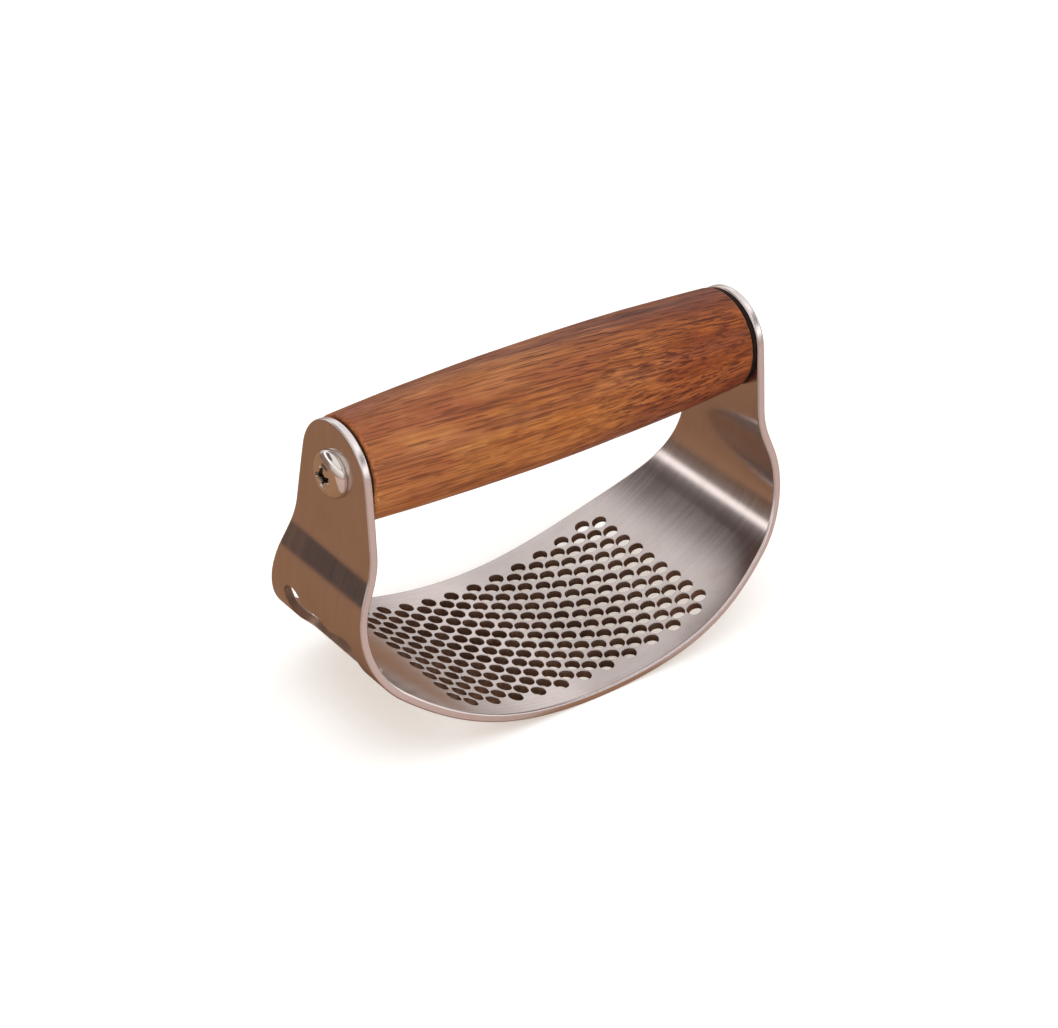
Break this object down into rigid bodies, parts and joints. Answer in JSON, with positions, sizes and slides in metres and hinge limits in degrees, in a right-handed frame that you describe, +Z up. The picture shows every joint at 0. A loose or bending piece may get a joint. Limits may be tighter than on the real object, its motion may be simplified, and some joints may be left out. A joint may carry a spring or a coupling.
{
  "type": "rocking garlic press",
  "caption": "Perforated steel strip bent into a rocking arc with two upright ears, a turned wooden handle between the ears, and a cap lifter slot in one flank.",
  "frame": {"origin": "middle of the faint flat under the strip, on the surface that the part stands and rocks on", "axes": "+X along the handle, towards the ear without the cap lifter slot; +Y across the strip; +Z up"},
  "size_m": [0.1022, 0.0476, 0.0666],
  "materials": {
    "steel_strip": "satin",
    "handle_wood": "satin",
    "rod_steel": "satin",
    "screw_steel": "polished",
    "washer_black": "matte"
  },
  "bodies": {
    "rocker": {"rocker_plate": "steel_strip", "core_rod": "rod_steel", "screw_left": "screw_steel", "screw_right": "screw_steel", "end_washer_left": "washer_black", "end_washer_right": "washer_black"},
    "handle": {"handle": "handle_wood"}
  },
  "joints": [
    {"name": "handle_spin", "type": "hinge", "parent": "rocker", "child": "handle", "pos_m": [0, 0, 0.0548], "axis": [1, 0, 0], "continuous": true}
  ]
}
